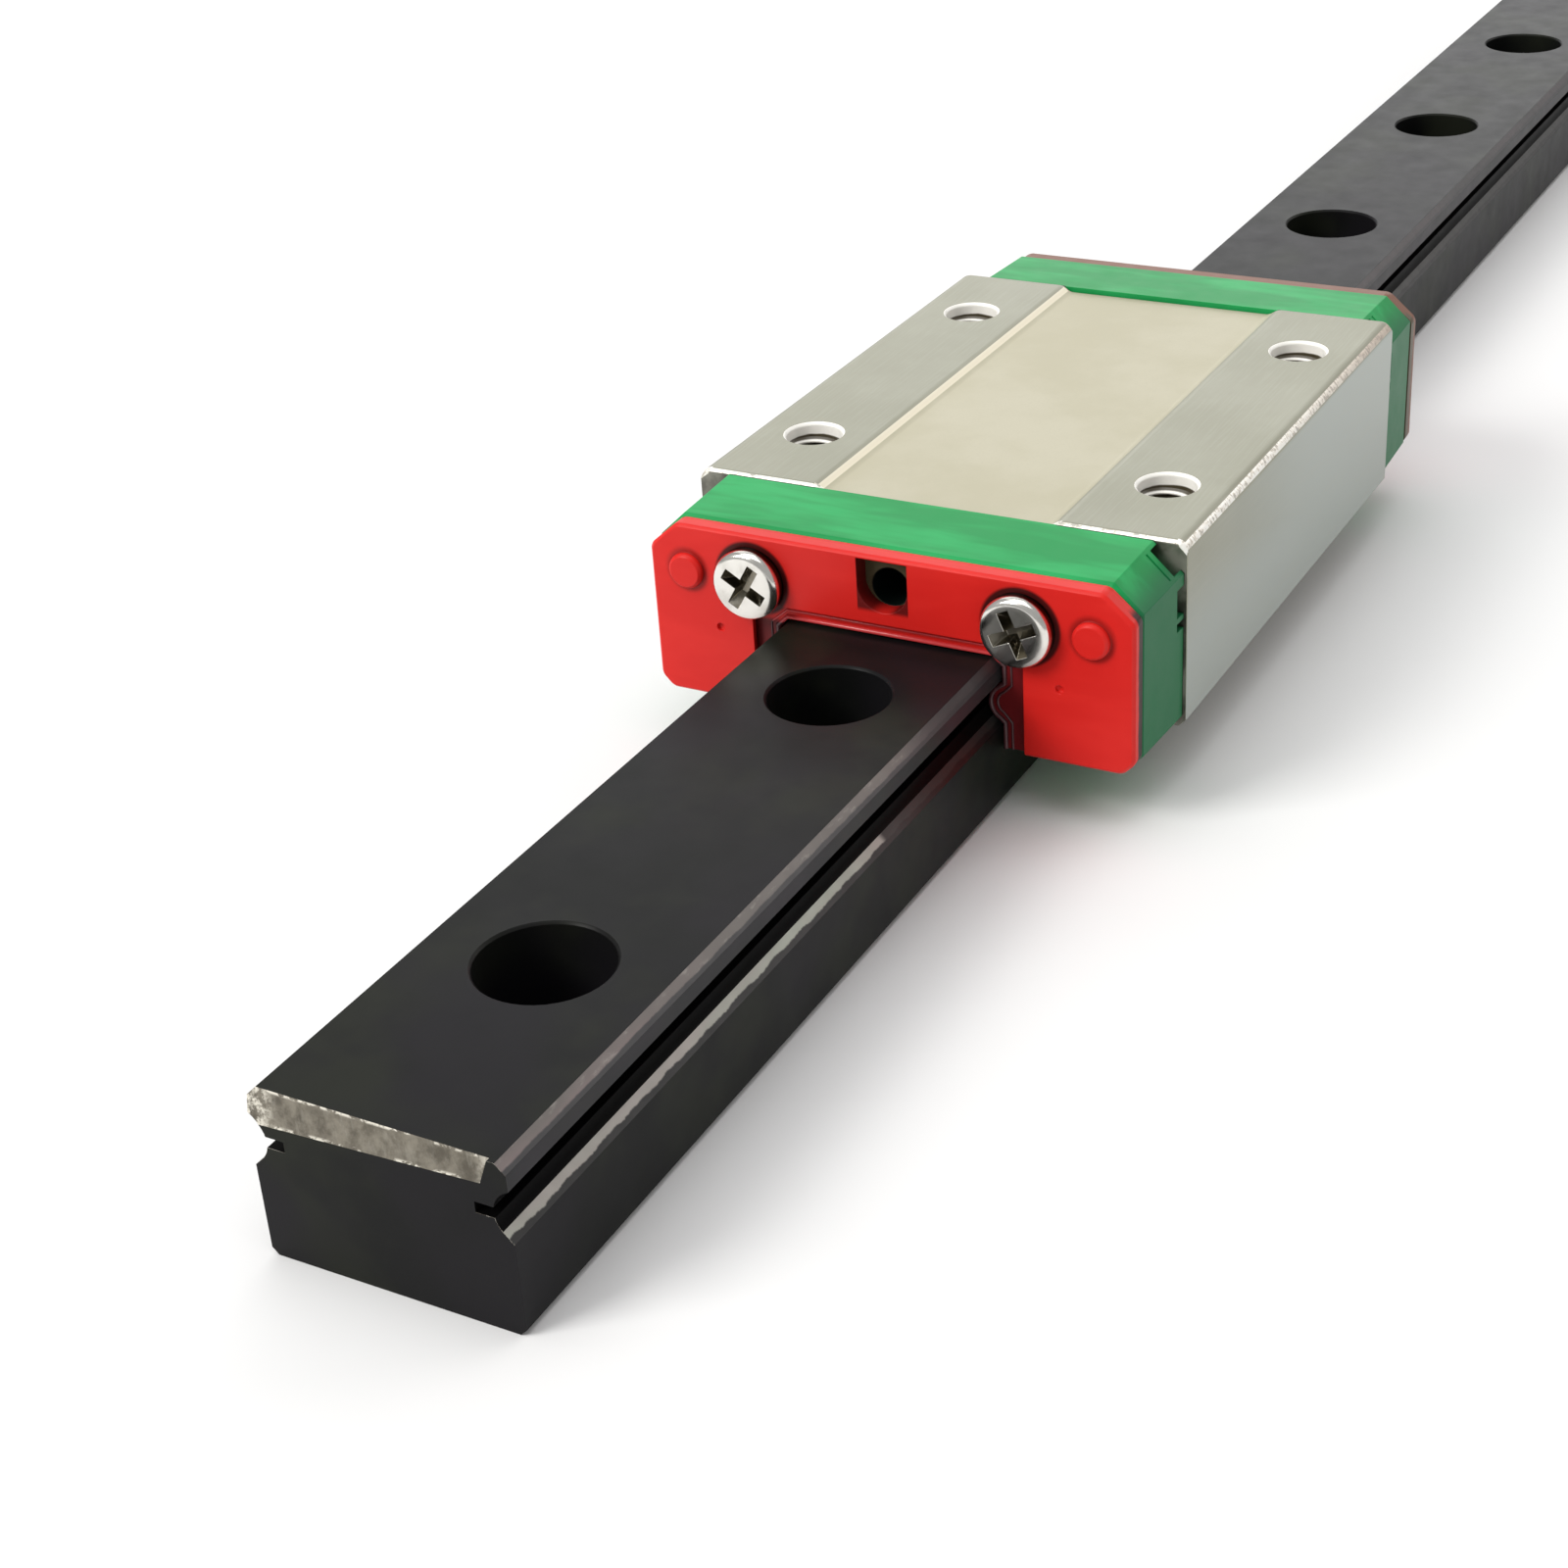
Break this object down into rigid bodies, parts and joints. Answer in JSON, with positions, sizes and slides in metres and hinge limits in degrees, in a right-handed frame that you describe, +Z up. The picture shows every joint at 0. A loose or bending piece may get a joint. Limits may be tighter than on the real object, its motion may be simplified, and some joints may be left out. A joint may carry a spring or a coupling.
{
  "type": "linear guide rail with block",
  "caption": "Miniature linear guide: a grooved steel rail with counterbored holes and a ball carriage with plastic end caps and seals that slides along it.",
  "frame": {"origin": "middle of the rail's base", "axes": "+X along the rail, away from the picture's camera; +Y across it to the left; +Z up"},
  "size_m": [0.2, 0.027, 0.013],
  "materials": {
    "black_steel": "blackened ground steel",
    "ground_steel": "satin ground steel",
    "green_plastic": "moulded green plastic",
    "red_plastic": "moulded red plastic",
    "screw_steel": "bright nickel plated steel",
    "ball_steel": "polished bearing steel"
  },
  "bodies": {
    "rail": {"rail": "black_steel"},
    "carriage": {"carriage_block": "ground_steel", "end_cap_front": "green_plastic", "end_cap_rear": "green_plastic", "end_seal_front": "red_plastic", "end_seal_rear": "red_plastic", "cap_screw_front_left": "screw_steel", "cap_screw_front_right": "screw_steel", "cap_screw_rear_left": "screw_steel", "cap_screw_rear_right": "screw_steel", "ball_row_left": "ball_steel", "ball_row_right": "ball_steel", "retainer_wire_left": "screw_steel", "retainer_wire_right": "screw_steel"}
  },
  "joints": [
    {"name": "carriage_travel", "type": "slide", "parent": "rail", "child": "carriage", "axis": [1, 0, 0], "range_m": [-0.0415, 0.1115]}
  ]
}
